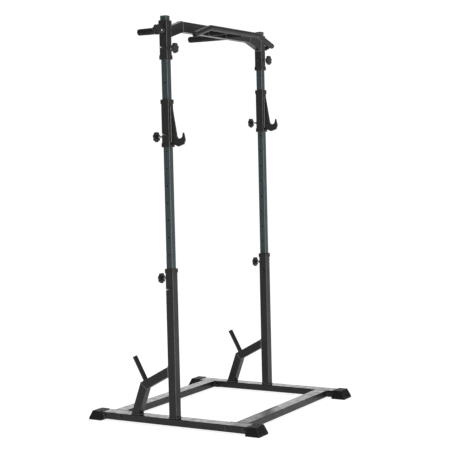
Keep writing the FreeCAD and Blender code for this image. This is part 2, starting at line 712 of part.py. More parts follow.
def make_hook(name, side, level):
    x = f"{side} * Dims.half_track"
    sleeve = new_body(f"hook_sleeve_{name}")
    low, high = "-Dims.hook_below", "Dims.hook_above"
    square_tube(sleeve, "0", "0", low, high, "Dims.post_wide", "Dims.post_wall")
    cut(sleeve, "YZ_Plane", "0", "2 * Dims.post_wide", circles=[("0", "0", "Dims.sleeve_hole")])
    screw = ("0", "-Dims.hook_knob_drop", "Dims.screw_pass")
    cut(sleeve, "XZ_Plane", "-Dims.post_wide / 2", "Dims.post_wall * 4", circles=[screw])
    plate = make_hook_plate(name)
    lower = new_body(f"hook_bushing_low_{name}")
    bushing(lower, "0", low, "-")
    upper = new_body(f"hook_bushing_top_{name}")
    bushing(upper, "0", high, "+")
    ring = new_body(f"hook_boss_{name}")
    boss(ring, "0", "-Dims.hook_knob_drop", REAR)
    for item in (sleeve, plate, lower, upper, ring):
        place(item, x, "0", level)


# ---- pull-up unit ----


def make_top_sleeves():
    body = new_body("top_sleeves")
    square_tube(body, NEAR_X, "0", "Dims.top_base", "Dims.top_end", "Dims.post_wide", "Dims.post_wall")
    pin = ("0", "Dims.top_pin_level", "Dims.sleeve_hole")
    cut(body, "YZ_Plane", NEAR_X, "2 * Dims.post_wide", circles=[pin])
    screw = (NEAR_X, "Dims.top_knob_level", "Dims.screw_pass")
    cut(body, "XZ_Plane", "Dims.post_wide / 2", "Dims.post_wall * 4", circles=[screw])
    screw = ("0", "Dims.side_knob_level", "Dims.screw_pass")
    outer_wall = f"{NEAR_X} - Dims.post_wide / 2"
    cut(body, "YZ_Plane", outer_wall, "Dims.post_wall * 4", circles=[screw])
    mirror(body, "YZ_Plane")


def make_top_bushings():
    upper = new_body("top_bushings_high")
    bushing(upper, NEAR_X, "Dims.top_end", "+")
    mirror(upper, "YZ_Plane")
    lower = new_body("top_bushings_low")
    bushing(lower, NEAR_X, "Dims.top_base", "-")
    mirror(lower, "YZ_Plane")


def make_top_bosses():
    body = new_body("top_bosses")
    boss(body, NEAR_X, "Dims.top_knob_level", FRONT)
    middle = f"{NEAR_X} - (Dims.post_wide + Dims.boss_long) / 2"
    level = "Dims.side_knob_level"
    pad(body, "YZ_Plane", middle, "Dims.boss_long", circles=[("0", level, "Dims.boss_wide")])
    cut(body, "YZ_Plane", middle, "2 * Dims.boss_long", circles=[("0", level, "Dims.boss_bore")])
    mirror(body, "YZ_Plane")


def beam_outline(half, end):
    """Front view of the beam: level in the middle, falling to both ends."""
    shift = f"({half}) * tan(Dims.beam_slope / 2)"
    fall = f"Dims.beam_level - (({end}) - Dims.beam_kink) * tan(Dims.beam_slope)"
    rise = f"({half}) / cos(Dims.beam_slope)"
    high, low = f"Dims.beam_level + ({half})", f"Dims.beam_level - ({half})"
    right = [
        (f"(Dims.beam_kink - {shift})", low),
        (f"({end})", f"{fall} - {rise}"),
        (f"({end})", f"{fall} + {rise}"),
        (f"(Dims.beam_kink + {shift})", high),
    ]
    left = [(f"-{u}", v) for u, v in reversed(right)]
    return right + left


def make_beam():
    body = new_body("pullup_beam")
    end = "Dims.half_track - Dims.post_wide / 2"
    pad(body, "XZ_Plane", "0", "Dims.beam_deep", [beam_outline("Dims.beam_tall / 2", end)])
    side = number("Dims.beam_deep / 2")

    def along_beam(edge):
        on_side = abs(abs(edge.BoundBox.Center.y) - side) < 0.1
        return on_side and abs(edge.Curve.Direction.z) < 0.9

    dress(body, "Fillet", "Dims.corner", along_beam)
    inner = beam_outline("Dims.beam_tall / 2 - Dims.beam_wall", f"{end} + 5")
    cut(body, "XZ_Plane", "0", "Dims.beam_deep - 2 * Dims.beam_wall", [inner])


def draw_path(sketch, points, radius):
    """Open path of two straight runs joined by a tangent arc."""
    start, kink, end = [Vector(number(u), number(v), 0) for u, v in points]
    before = (kink - start).normalize()
    after = (end - kink).normalize()
    turn = before.x * after.y - before.y * after.x
    left = 1 if turn > 0 else -1
    back = number(radius) * math.tan(before.getAngle(after) / 2)
    arc_start, arc_end = kink - before * back, kink + after * back
    centre = arc_start + Vector(-before.y, before.x, 0) * left * number(radius)
    ends = (arc_start, arc_end) if turn > 0 else (arc_end, arc_start)
    angles = [math.atan2(at.y - centre.y, at.x - centre.x) for at in ends]
    circle = Part.Circle(centre, Vector(0, 0, 1), number(radius))
    sketch.addGeometry(Part.LineSegment(start, arc_start))
    sketch.addGeometry(Part.ArcOfCircle(circle, *angles))
    sketch.addGeometry(Part.LineSegment(arc_end, end))
    sketch.addGeometry(Part.Point(kink), True)
    first, last = (1, 2) if turn > 0 else (2, 1)
    sketch.addConstraint(Sketcher.Constraint("Tangent", 0, 2, 1, first))
    sketch.addConstraint(Sketcher.Constraint("Tangent", 1, last, 2, 1))
    sketch.addConstraint(Sketcher.Constraint("PointOnObject", 3, 1, 0))
    sketch.addConstraint(Sketcher.Constraint("PointOnObject", 3, 1, 2))
    index = sketch.addConstraint(Sketcher.Constraint("Radius", 1, number(radius)))
    sketch.setExpression(f"Constraints[{index}]", radius)
    for element, point, (u, v) in ((0, 1, points[0]), (3, 1, points[1]), (2, 2, points[2])):
        hold(sketch, "DistanceX", element, point, u)
        hold(sketch, "DistanceY", element, point, v)


def sweep(body, kind, circle, circle_middle, role, path_middle, points, radius):
    """Additive or subtractive pipe: a circle across X that follows a bent path."""
    section = new_sketch(body, "YZ_Plane", circle_middle)
    draw_circle(section, *circle)
    path = new_sketch(body, role, path_middle)
    draw_path(path, points, radius)
    doc.recompute()
    pipe = body.newObject(f"PartDesign::{kind}", f"{body.Name}_{kind}")
    pipe.Profile = section
    pipe.Spine = (path, ["Edge1", "Edge2", "Edge3"])
    doc.recompute()
    body.Tip = pipe


BAR_PATH = [
    ("0", "Dims.bar_level"),
    ("-Dims.bar_kink", "Dims.bar_level"),
    ("-Dims.bar_tip", "Dims.bar_tip_level"),
]


def make_front_bar():
    body = new_body("front_bar")
    for kind, wide in (
        ("AdditivePipe", "Dims.bar_wide"),
        ("SubtractivePipe", "Dims.bar_wide - 2 * Dims.bar_wall"),
    ):
        circle = ("-Dims.bar_reach", "Dims.bar_level", wide)
        sweep(body, kind, circle, "0", "XZ_Plane", "Dims.bar_reach", BAR_PATH, "Dims.bar_bend")
    mirror(body, "YZ_Plane")


def make_inner_handles():
    """Cores between beam and front bar, coped to the round bar."""
    body = new_body("inner_handles")
    start, end = "Dims.beam_deep / 2", "Dims.bar_reach"
    middle, length = f"({start} + {end}) / 2", f"{end} - {start}"
    core = ("-Dims.handle_reach", "Dims.handle_level", "Dims.handle_wide")
    pad(body, "XZ_Plane", middle, length, circles=[core])
    cope = ("-Dims.bar_reach", "Dims.bar_level", "Dims.bar_wide")
    cut(body, "YZ_Plane", "-Dims.handle_reach", "4 * Dims.handle_wide", circles=[cope])
    mirror(body, "YZ_Plane")


def make_inner_grips():
    body = new_body("inner_grips")
    start, end = "(Dims.beam_deep / 2 + 2)", "(Dims.bar_reach - Dims.bar_wide / 2 - 2)"
    middle, length = f"({start} + {end}) / 2", f"({end} - {start})"
    place_at = ("-Dims.handle_reach", "Dims.handle_level")
    pad(body, "XZ_Plane", middle, length, circles=[(*place_at, "Dims.handle_grip")])
    cut(body, "XZ_Plane", middle, f"{length} + 2", circles=[(*place_at, "Dims.handle_wide")])
    mirror(body, "YZ_Plane")


def make_rear_handles():
    """Cores along Y behind the beam, each on a square plate."""
    body = new_body("rear_handles")
    start, end = "Dims.beam_deep / 2", "Dims.rear_tip"
    middle, length = f"-({start} + {end}) / 2", f"({end} - {start})"
    place_at = ("-Dims.rear_reach", "Dims.rear_level")
    pad(body, "XZ_Plane", middle, length, circles=[(*place_at, "Dims.handle_wide")])
    plate = [rectangle("-Dims.rear_reach", "Dims.beam_level", "Dims.flange_wide", "Dims.flange_wide")]
    middle = f"-({start} + Dims.flange_thick / 2)"
    pad(body, "XZ_Plane", middle, "Dims.flange_thick", plate)
    mirror(body, "YZ_Plane")


def make_rear_grips():
    body = new_body("rear_grips")
    start, end = "(Dims.beam_deep / 2 + Dims.flange_thick + 2)", "Dims.rear_tip"
    middle, length = f"-({start} + {end}) / 2", f"({end} - {start})"
    place_at = ("-Dims.rear_reach", "Dims.rear_level")
    pad(body, "XZ_Plane", middle, length, circles=[(*place_at, "Dims.rear_grip")])
    cut(body, "XZ_Plane", middle, f"{length} + 2", circles=[(*place_at, "Dims.handle_wide")])
    mirror(body, "YZ_Plane")


def make_rear_caps():
    body = new_body("rear_caps")
    middle = "-(Dims.rear_tip + Dims.tip_thick / 2)"
    cap = ("-Dims.rear_reach", "Dims.rear_level", "Dims.rear_end")
    pad(body, "XZ_Plane", middle, "Dims.tip_thick", circles=[cap])
    end = number("Dims.rear_tip + Dims.tip_thick") - 0.1
    dress(body, "Fillet", "1.5", lambda edge: edge.BoundBox.YMin > end)
    mirror(body, "YZ_Plane")


def make_bar_plugs():
    """Rounded plugs in the tips of the front bar, in line with its slope."""
    plug = doc.addObject("PartDesign::Body", "bar_plug_left")
    long = "Dims.bar_plug_long"
    pad(plug, "XY_Plane", f"{long} / 2", long, circles=[("0", "0", "Dims.bar_plug_wide")])
    end = number(long) - 0.1
    dress(plug, "Fillet", "Dims.bar_plug_edge", lambda edge: edge.BoundBox.ZMin > end)
    inside = "Dims.bar_wide - 2 * Dims.bar_wall - Dims.plug_play"
    pad(plug, "XY_Plane", "-Dims.plug_long / 2", "Dims.plug_long", circles=[("0", "0", inside)])
    fall = "atan((Dims.bar_level - Dims.bar_tip_level) / (Dims.bar_tip - Dims.bar_kink))"
    place(plug, "-Dims.bar_tip", "-Dims.bar_reach", "Dims.bar_tip_level", Y_AXIS, f"-90 deg - {fall}")
    doc.recompute()
    twin = doc.addObject("Part::Mirroring", "bar_plug_right")
    twin.Source = plug
    twin.Normal = X_AXIS
    pair = doc.addObject("Part::Fuse", "bar_plugs")
    pair.Base, pair.Tool = plug, twin
    pair.Label = "bar_plugs"
    nodes.append(pair)
    doc.recompute()


# ---- the whole rack ----


def make_all():
    make_side_rails()
    make_cross_members()
    make_feet()
    make_base_bolts()
    make_base_nuts()
    make_lower_posts()
    make_post_bushings()
    make_post_bosses()
    make_plate_brackets()
    make_weight_pegs()
    make_peg_caps()
    make_masts()
    make_mast_end("mast_caps", "Dims.mast_top", "+")
    make_mast_end("mast_plugs", "Dims.mast_base", "-")
    make_hook("left", LEFT, "Dims.hook_left_level")
    make_hook("right", RIGHT, "Dims.hook_right_level")
    make_top_sleeves()
    make_top_bushings()
    make_top_bosses()
    make_beam()
    make_front_bar()
    make_inner_handles()
    make_inner_grips()
    make_bar_plugs()
    make_rear_handles()
    make_rear_grips()
    make_rear_caps()
    for name, side in (("left", LEFT), ("right", RIGHT)):
        hook = f"Dims.hook_{name}_level"
        make_pin(f"post_{name}", side, "Dims.post_pin_level")
        make_pin(f"hook_{name}", side, hook)
        make_pin(f"top_{name}", side, "Dims.top_pin_level")
        make_knob(f"post_{name}", side, REAR, "Dims.post_knob_level", "Dims.post_knob_reach")
        make_knob(f"hook_{name}", side, REAR, f"{hook} - Dims.hook_knob_drop", "Dims.hook_knob_reach")
        make_knob(f"top_{name}", side, FRONT, "Dims.top_knob_level", "Dims.top_knob_reach")
        make_knob(f"side_{name}", side, name, "Dims.side_knob_level", "Dims.side_knob_reach")


def check_document():
    for item in doc.Objects:
        if "Invalid" in item.State or "Error" in item.State:
            raise RuntimeError(f"{item.Name}: {item.State}")
    for node in nodes:
        if node.Shape.isNull() or not node.Shape.isValid():
            raise RuntimeError(f"{node.Label}: bad shape")


def export_nodes():
    os.makedirs("parts", exist_ok=True)
    for node in nodes:
        node.Shape.exportStep(f"parts/{node.Label}.step")
        print(node.Label, len(node.Shape.Solids), round(node.Shape.Volume / 1000, 1))


fill_sheet()
make_all()
doc.recompute()
check_document()
export_nodes()
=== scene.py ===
"""Looks of the power cage: powder-coated steel, weld beads, foam grips, threaded screws."""

import math

import bmesh
import bpy
from mathutils import Euler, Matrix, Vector


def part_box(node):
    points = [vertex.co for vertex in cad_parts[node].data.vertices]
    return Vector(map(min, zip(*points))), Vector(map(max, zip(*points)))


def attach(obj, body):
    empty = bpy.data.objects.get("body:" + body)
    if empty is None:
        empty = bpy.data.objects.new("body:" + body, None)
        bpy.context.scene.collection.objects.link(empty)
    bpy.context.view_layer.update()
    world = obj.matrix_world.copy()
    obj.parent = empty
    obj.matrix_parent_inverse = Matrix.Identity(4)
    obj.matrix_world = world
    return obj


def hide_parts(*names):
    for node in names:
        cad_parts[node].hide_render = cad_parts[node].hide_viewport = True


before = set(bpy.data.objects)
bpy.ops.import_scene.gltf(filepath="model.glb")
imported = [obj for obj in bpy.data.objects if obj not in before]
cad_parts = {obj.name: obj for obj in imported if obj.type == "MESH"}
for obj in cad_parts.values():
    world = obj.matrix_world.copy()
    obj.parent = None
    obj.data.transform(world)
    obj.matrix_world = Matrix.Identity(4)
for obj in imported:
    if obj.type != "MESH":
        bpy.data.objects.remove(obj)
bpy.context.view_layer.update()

# ---- sizes that repeat those of part.py, in metres and degrees ----

TRACK = 0.550
POST_HALF = 0.025
CORNER = 0.003
RAIL_TOP = 0.050
RAIL_LOW = 0.010
CROSS_REACH = 0.408
PLATE_FACE = 0.504
LEAN = math.radians(20)
RISE = math.radians(28.4)
KNEE_Y = 0.1955
KNEE_Z = 0.2215
PEG_UP = 0.025
PEG_RADIUS = 0.014
HOOK_LEVELS = {"left": 1.647, "right": 1.743}
HOOK_ROOT = 0.158
HOOK_STEP = 0.047
HOOK_HALF = 0.005
BEAM_LEVEL = 2.255
BEAM_TALL_HALF = 0.030
BEAM_DEEP_HALF = 0.020
BEAM_KINK = 0.393
BEAM_SLOPE = math.radians(16.5)
HANDLE_REACH = 0.100
HANDLE_LEVEL = 2.240
HANDLE_RADIUS = 0.011
REAR_REACH = 0.2825
REAR_LEVEL = 2.260
REAR_START = 0.027
REAR_TIP = 0.356
REAR_RADIUS = 0.020
FLANGE_HALF = 0.022
FLANGE_BACK = 0.025
SIDE_KNOB_LEVEL = 2.222
TOP_KNOB_LEVEL = 2.122
POST_KNOB_LEVEL = 0.840
HOOK_KNOB_DROP = 0.013
INNER_GRIP_FRONT = -0.118
INNER_GRIP_LONG = 0.096
INNER_GRIP_RADIUS = 0.015
SIDES = {"left": -1, "right": 1}

X, Y, Z = Vector((1, 0, 0)), Vector((0, 1, 0)), Vector((0, 0, 1))


# ---- meshes ----


def new_object(name, bm, smooth=True):
    bmesh.ops.recalc_face_normals(bm, faces=bm.faces)
    mesh = bpy.data.meshes.new(name)
    bm.to_mesh(mesh)
    bm.free()
    mesh.polygons.foreach_set("use_smooth", [smooth] * len(mesh.polygons))
    item = bpy.data.objects.new(name, mesh)
    bpy.context.scene.collection.objects.link(item)
    return item


def skin_rings(bm, rings, closed):
    """Faces between rings of vertices, with flat lids unless the rings close on themselves."""
    count = len(rings)
    for i in range(count if closed else count - 1):
        here, there = rings[i], rings[(i + 1) % count]
        for k in range(len(here)):
            n = (k + 1) % len(here)
            bm.faces.new((here[k], here[n], there[n], there[k]))
    if not closed:
        bm.faces.new(rings[0])
        bm.faces.new(rings[-1][::-1])


def walk(points, closed, step):
    """Points at an even step along straight runs, with the direction of travel at each."""
    ends = points + points[:1] if closed else points
    total = sum((b - a).length for a, b in zip(ends, ends[1:]))
    count = max(4, round(total / step))
    pitch = total / count
    places = []
    for i in range(count if closed else count + 1):
        left = min(i * pitch, total - 1e-7)
        for a, b in zip(ends, ends[1:]):
            run = (b - a).length
            if left <= run:
                places.append((a + (b - a) * (left / run), (b - a) / run))
                break
            left -= run
    return places


BEAD_STEP = 0.0011
RIPPLE = (1.0, 1.16, 0.86)
BEAD_SIDES = 8
TUBE_BEAD = 0.0026  # radius of the beads round tube ends
MITRE_BEAD = 0.0019
HOOK_BEAD = 0.0036
PEG_BEAD = 0.0024
BOSS_BEAD = 0.0018
BOSS_RING = 0.0108  # radius of the seam round a boss
SKIN = 0.001  # how far a seam runs outside the tube's own outline
SEAM_OUT = 0.0008  # how far a seam stands off the face it is laid on
BEAD_OUT = 0.0006  # the same for smaller beads


def add_bead(bm, points, radius, closed=True):
    """A weld bead: overlapping ripples laid along a seam."""
    places = walk(points, closed, BEAD_STEP)
    rings = []
    for i, (middle, ahead) in enumerate(places):
        across = ahead.cross(Z if abs(ahead.z) < 0.9 else Y).normalized()
        over = ahead.cross(across)
        size = radius * RIPPLE[i % len(RIPPLE)]
        size *= 1 + 0.07 * math.sin(i * 0.37) * math.sin(i * 0.113)
        if not closed and i in (0, len(places) - 1):
            size *= 0.5
        ring = []
        for k in range(BEAD_SIDES):
            turn = 2 * math.pi * k / BEAD_SIDES
            place = middle + across * size * math.cos(turn) + over * size * math.sin(turn)
            ring.append(bm.verts.new(place))
        rings.append(ring)
    skin_rings(bm, rings, closed)


def ring_points(middle, u, v, half_u, half_v, corner):
    """A rounded rectangle round a point, in the plane of two directions."""
    points = []
    for sign_u, sign_v, start in ((1, 1, 0), (-1, 1, 90), (-1, -1, 180), (1, -1, 270)):
        for turn in (0, 30, 60, 90):
            angle = math.radians(start + turn)
            du = sign_u * (half_u - corner) + corner * math.cos(angle)
            dv = sign_v * (half_v - corner) + corner * math.sin(angle)
            points.append(middle + u * du + v * dv)
    return points


def circle_points(middle, u, v, radius, count=24):
    turns = (2 * math.pi * k / count for k in range(count))
    return [middle + u * radius * math.cos(t) + v * radius * math.sin(t) for t in turns]


def lathe(name, profile, middle, axis, segments=40):
    """Turn a closed outline of (along, radius) pairs about an axis through a point."""
    u = axis.cross(Z if abs(axis.z) < 0.9 else Y).normalized()
    v = axis.cross(u)
    bm = bmesh.new()
    rings = []
    for k in range(segments):
        turn = 2 * math.pi * k / segments
        out = u * math.cos(turn) + v * math.sin(turn)
        rings.append([bm.verts.new(middle + axis * along + out * radius) for along, radius in profile])
    skin_rings(bm, rings, closed=True)
    return new_object(name, bm)


# ---- weld beads ----


def bracket_mitre():
    """From the middle of a bracket's knee to its outer corner, along the mitre seam."""
    half = POST_HALF / (1 + math.sin(LEAN + RISE))
    out = Vector((0, math.cos(LEAN) + math.sin(RISE), math.sin(LEAN) + math.cos(RISE)))
    return half * out


def bead_base():
    bm = bmesh.new()
    mitre = bracket_mitre()
    for side in (-1, 1):
        x = side * TRACK
        post = Vector((x, 0, RAIL_TOP + SEAM_OUT))
        add_bead(bm, ring_points(post, X, Y, POST_HALF + SKIN, POST_HALF + SKIN, CORNER), TUBE_BEAD)
        foot_y = KNEE_Y + (KNEE_Z - RAIL_TOP) * math.tan(LEAN)
        foot = Vector((x, foot_y, RAIL_TOP + SEAM_OUT))
        seam = ring_points(foot, X, Y, POST_HALF + SKIN, POST_HALF / math.cos(LEAN) + SKIN, CORNER)
        add_bead(bm, seam, TUBE_BEAD)
        head_z = KNEE_Z + (KNEE_Y - POST_HALF) * math.tan(RISE)
        head = Vector((x, POST_HALF + SEAM_OUT, head_z))
        tall = POST_HALF / math.cos(RISE)
        add_bead(bm, ring_points(head, X, Z, POST_HALF - SKIN, tall + SKIN, CORNER), TUBE_BEAD)
        knee = Vector((x, KNEE_Y, KNEE_Z))
        seam = ring_points(knee, X, mitre.normalized(), POST_HALF + 0.0002, mitre.length - 0.0012, CORNER)
        add_bead(bm, seam, MITRE_BEAD)
        rise = Vector((0, -math.cos(RISE), math.sin(RISE)))
        square = Vector((0, math.sin(RISE), math.cos(RISE)))
        peg = knee + mitre + rise * PEG_UP + square * 0.0006
        add_bead(bm, circle_points(peg, X, rise, PEG_RADIUS + 0.0012), PEG_BEAD)
        for end in (-1, 1):
            tube = Vector((side * (PLATE_FACE - SEAM_OUT), end * CROSS_REACH, (RAIL_LOW + RAIL_TOP) / 2))
            top = tube + Z * 0.0192
            seam = [top + Y * -0.037, top + Y * 0.037]
            for edge in (-1, 1):
                wall = tube + Y * edge * 0.0392
                add_bead(bm, [wall + Z * -0.017, wall + Z * 0.015], 0.0022, closed=False)
            add_bead(bm, seam, 0.0012, closed=False)
        boss = Vector((x, POST_HALF + BEAD_OUT, POST_KNOB_LEVEL))
        add_bead(bm, circle_points(boss, X, Z, BOSS_RING), BOSS_BEAD)
    return new_object("beads_base", bm)


def bead_hook(name, side):
    bm = bmesh.new()
    level = HOOK_LEVELS[name]
    x = side * TRACK
    for edge in (-1, 1):
        root = Vector((x + edge * (HOOK_HALF + 0.0012), -POST_HALF - BEAD_OUT, level))
        run = [root + Z * (0.002 - HOOK_STEP), root + Z * (HOOK_ROOT - 0.003)]
        add_bead(bm, run, HOOK_BEAD, closed=False)
    boss = Vector((x, POST_HALF + BEAD_OUT, level - HOOK_KNOB_DROP))
    add_bead(bm, circle_points(boss, X, Z, BOSS_RING), BOSS_BEAD)
    return new_object(f"beads_hook_{name}", bm)


def bead_pullup():
    bm = bmesh.new()
    for side in (-1, 1):
        slope = Vector((side * math.cos(BEAM_SLOPE), 0, -math.sin(BEAM_SLOPE)))
        kink = Vector((side * BEAM_KINK, 0, BEAM_LEVEL))
        mitre = Vector((side * math.sin(BEAM_SLOPE / 2), 0, math.cos(BEAM_SLOPE / 2)))
        tall = BEAM_TALL_HALF / math.cos(BEAM_SLOPE / 2)
        seam = ring_points(kink, Y, mitre, BEAM_DEEP_HALF + 0.0002, tall + 0.0002, CORNER)
        add_bead(bm, seam, MITRE_BEAD)
        end_x = TRACK - POST_HALF - SEAM_OUT
        fall = (end_x - BEAM_KINK) * math.tan(BEAM_SLOPE)
        end = Vector((side * end_x, 0, BEAM_LEVEL - fall))
        tall = BEAM_TALL_HALF / math.cos(BEAM_SLOPE)
        add_bead(bm, ring_points(end, Y, Z, BEAM_DEEP_HALF + SKIN, tall + SKIN, CORNER), TUBE_BEAD)
        root = Vector((side * HANDLE_REACH, -BEAM_DEEP_HALF - BEAD_OUT, HANDLE_LEVEL))
        add_bead(bm, circle_points(root, X, Z, HANDLE_RADIUS + SKIN), 0.0021)
        flange = Vector((side * REAR_REACH, BEAM_DEEP_HALF + BEAD_OUT, BEAM_LEVEL))
        add_bead(bm, ring_points(flange, X, Z, FLANGE_HALF + SKIN, FLANGE_HALF + SKIN, 0.002), 0.0022)
        neck = Vector((side * REAR_REACH, FLANGE_BACK + BEAD_OUT, REAR_LEVEL))
        add_bead(bm, circle_points(neck, X, Z, HANDLE_RADIUS + SKIN), 0.0013)
        boss = Vector((side * (TRACK + POST_HALF + BEAD_OUT), 0, SIDE_KNOB_LEVEL))
        add_bead(bm, circle_points(boss, Y, Z, BOSS_RING), BOSS_BEAD)
        boss = Vector((side * TRACK, -POST_HALF - BEAD_OUT, TOP_KNOB_LEVEL))
        add_bead(bm, circle_points(boss, X, Z, BOSS_RING), BOSS_BEAD)
    return new_object("beads_pullup", bm)


# ---- foam grips ----


FOAM_RIM = 0.0042
FOAM_SLACK = 0.0006  # how far the foam stays inside its CAD radius at the rims
RIM_STEPS = 6
BELLY_STEPS = 30


def foam_outline(start, end, bore, radius):
    """Half section of a foam sleeve: rounded rims and a slight, uneven belly."""
    turns = [math.radians(90 * i / RIM_STEPS) for i in range(RIM_STEPS + 1)]
    inset = [FOAM_RIM * (1 - math.sin(turn)) for turn in turns]
    reach = [radius - FOAM_RIM * (1 - math.cos(turn)) - FOAM_SLACK for turn in turns]
    points = [(start + along, out) for along, out in zip(inset, reach)][::-1]
    for i in range(1, BELLY_STEPS):
        share = i / BELLY_STEPS
        along = start + FOAM_RIM + (end - start - 2 * FOAM_RIM) * share
        belly = FOAM_SLACK * math.sin(math.pi * share) - FOAM_SLACK
        points.append((along, radius + belly + 0.00012 * math.sin(share * 41)))
    points += [(end - along, out) for along, out in zip(inset, reach)]
    inside = bore + 0.0004
    points += [(end - 0.0008, inside + 0.0012), (end - 0.003, inside)]
    return points + [(start + 0.003, inside), (start + 0.0008, inside + 0.0012)]


def foam_grip(name, node, start, axis, length, radius):
    grip = lathe(name, foam_outline(0, length, HANDLE_RADIUS, radius), start, axis)
    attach(grip, "pullup_unit")
    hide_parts(node)
    return grip


def make_grips():
    grips = []
    for name, side in SIDES.items():
        start = Vector((side * HANDLE_REACH, INNER_GRIP_FRONT, HANDLE_LEVEL))
        size = (INNER_GRIP_LONG, INNER_GRIP_RADIUS)
        grips.append(foam_grip(f"inner_grip_{name}", "inner_grips", start, Y, *size))
        start = Vector((side * REAR_REACH, REAR_START, REAR_LEVEL))
        length = REAR_TIP - REAR_START
        grips.append(foam_grip(f"rear_grip_{name}", "rear_grips", start, Y, length, REAR_RADIUS))
    return grips


# ---- threaded screws ----

THREAD_PITCH = 0.00175
THREAD_DEEP = 0.0009
THREAD_SIDES = 28
RINGS_PER_TURN = 7
END_TAPER = 0.0012


def threaded_screw(name, node, body):
    """A clamping screw with a real helical thread, along the longest side of its CAD box."""
    low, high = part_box(node)
    middle, size = (low + high) / 2, high - low
    along, across = (X, Y) if size.x > size.y else (Y, X)
    length, radius = size.dot(along), size.z / 2
    count = int(length / THREAD_PITCH * RINGS_PER_TURN)
    bm = bmesh.new()
    rings = []
    for i in range(count + 1):
        travel = length * i / count
        ease = min(1, travel / END_TAPER, (length - travel) / END_TAPER)
        ring = []
        for k in range(THREAD_SIDES):
            share = k / THREAD_SIDES
            phase = (travel / THREAD_PITCH - share) % 1
            crest = min(1, abs(2 * phase - 1) * 1.15)
            reach = radius - THREAD_DEEP * (1 - crest) - 0.0006 * (1 - ease)
            out = across * math.cos(2 * math.pi * share) + Z * math.sin(2 * math.pi * share)
            ring.append(bm.verts.new(middle + along * (travel - length / 2) + out * reach))
        rings.append(ring)
    skin_rings(bm, rings, closed=False)
    screw = new_object(name, bm)
    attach(screw, body)
    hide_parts(node)
    return screw


# ---- materials ----


class Nodes:
    """A material's node tree, built up call by call around one Principled shader."""

    def __init__(self, name, gloss=0.28):
        self.material = bpy.data.materials.new(name)
        self.material.use_nodes = True
        self.tree = self.material.node_tree
        self.shader = self.tree.nodes["Principled BSDF"]
        self.shader.inputs["Specular IOR Level"].default_value = gloss
        self.place = self.add("ShaderNodeTexCoord").outputs["Object"]

    def add(self, kind, **settings):
        node = self.tree.nodes.new(kind)
        for key, value in settings.items():
            setattr(node, key, value)
        return node

    def link(self, source, target):
        self.tree.links.new(source, target)

    def noise(self, scale, detail=2.0, rough=0.5):
        node = self.add("ShaderNodeTexNoise")
        node.inputs["Scale"].default_value = scale
        node.inputs["Detail"].default_value = detail
        node.inputs["Roughness"].default_value = rough
        self.link(self.place, node.inputs["Vector"])
        return node.outputs["Fac"]

    def remap(self, source, low, high, to_low, to_high):
        node = self.add("ShaderNodeMapRange")
        for key, value in (("From Min", low), ("From Max", high), ("To Min", to_low), ("To Max", to_high)):
            node.inputs[key].default_value = value
        self.link(source, node.inputs["Value"])
        return node.outputs["Result"]

    def maths(self, operation, a, b):
        node = self.add("ShaderNodeMath", operation=operation)
        for socket, value in zip(node.inputs, (a, b)):
            if isinstance(value, (int, float)):
                socket.default_value = value
            else:
                self.link(value, socket)
        return node.outputs[0]

    def mix(self, share, a, b):
        node = self.add("ShaderNodeMix", data_type="RGBA")
        for socket, value in ((node.inputs[6], a), (node.inputs[7], b)):
            if isinstance(value, tuple):
                socket.default_value = (*value, 1)
            else:
                self.link(value, socket)
        self.link(share, node.inputs[0])
        return node.outputs[2]

    def edges(self, radius):
        """1 on sharp edges and 0 on flat faces."""
        bevel = self.add("ShaderNodeBevel", samples=4)
        bevel.inputs["Radius"].default_value = radius
        flat = self.add("ShaderNodeNewGeometry").outputs["Normal"]
        dot = self.add("ShaderNodeVectorMath", operation="DOT_PRODUCT")
        self.link(bevel.outputs["Normal"], dot.inputs[0])
        self.link(flat, dot.inputs[1])
        return self.remap(dot.outputs["Value"], 0.995, 0.86, 0.0, 1.0)

    def corners(self):
        """1 on the rounded upright corners of square tubes and 0 on their flat faces."""
        split = self.add("ShaderNodeSeparateXYZ")
        self.link(self.add("ShaderNodeTexCoord").outputs["Normal"], split.inputs["Vector"])
        both = self.maths("ABSOLUTE", self.maths("MULTIPLY", split.outputs["X"], split.outputs["Y"]), 0)
        upright = self.remap(self.maths("ABSOLUTE", split.outputs["Z"], 0), 0.05, 0.15, 1.0, 0.0)
        return self.maths("MULTIPLY", self.remap(both, 0.08, 0.35, 0.0, 1.0), upright)

    def bump(self, height, distance, strength=1.0):
        node = self.add("ShaderNodeBump")
        node.inputs["Strength"].default_value = strength
        node.inputs["Distance"].default_value = distance
        self.link(height, node.inputs["Height"])
        self.link(node.outputs["Normal"], self.shader.inputs["Normal"])


def powder_coat(name, colour, edge_highlight, rough, highlight_peak=1.0):
    """Fine-textured powder coat: orange peel, faint mottling, and a painted highlight on edges and upright
    corners, patchy with noise.
    """
    n = Nodes(name)
    tone = n.remap(n.noise(7, 4), 0.35, 0.65, 0.0, 1.0)
    base = n.mix(tone, tuple(c * 0.88 for c in colour), tuple(c * 1.12 for c in colour))
    speck = n.remap(n.noise(850, 1), 0.62, 0.78, 0.0, 0.35)
    base = n.mix(speck, base, tuple(c * 1.9 for c in colour))
    # Painted highlight: edges and upright corners take a lighter colour, standing in for the shine of
    # rounded corners.
    thin = n.maths("MAXIMUM", n.edges(0.002), n.corners())
    painted_highlight = n.maths("MULTIPLY", thin, n.remap(n.noise(60, 3), 0.42, 0.62, 0.7, highlight_peak))
    n.link(n.mix(painted_highlight, base, edge_highlight), n.shader.inputs["Base Color"])
    rub = n.remap(n.noise(23, 3), 0.3, 0.7, rough - 0.05, rough + 0.07)
    n.link(rub, n.shader.inputs["Roughness"])
    peel = n.maths("ADD", n.noise(620, 2), n.maths("MULTIPLY", n.noise(210, 1), 0.6))
    n.bump(peel, 0.00022, 0.5)
    return n.material


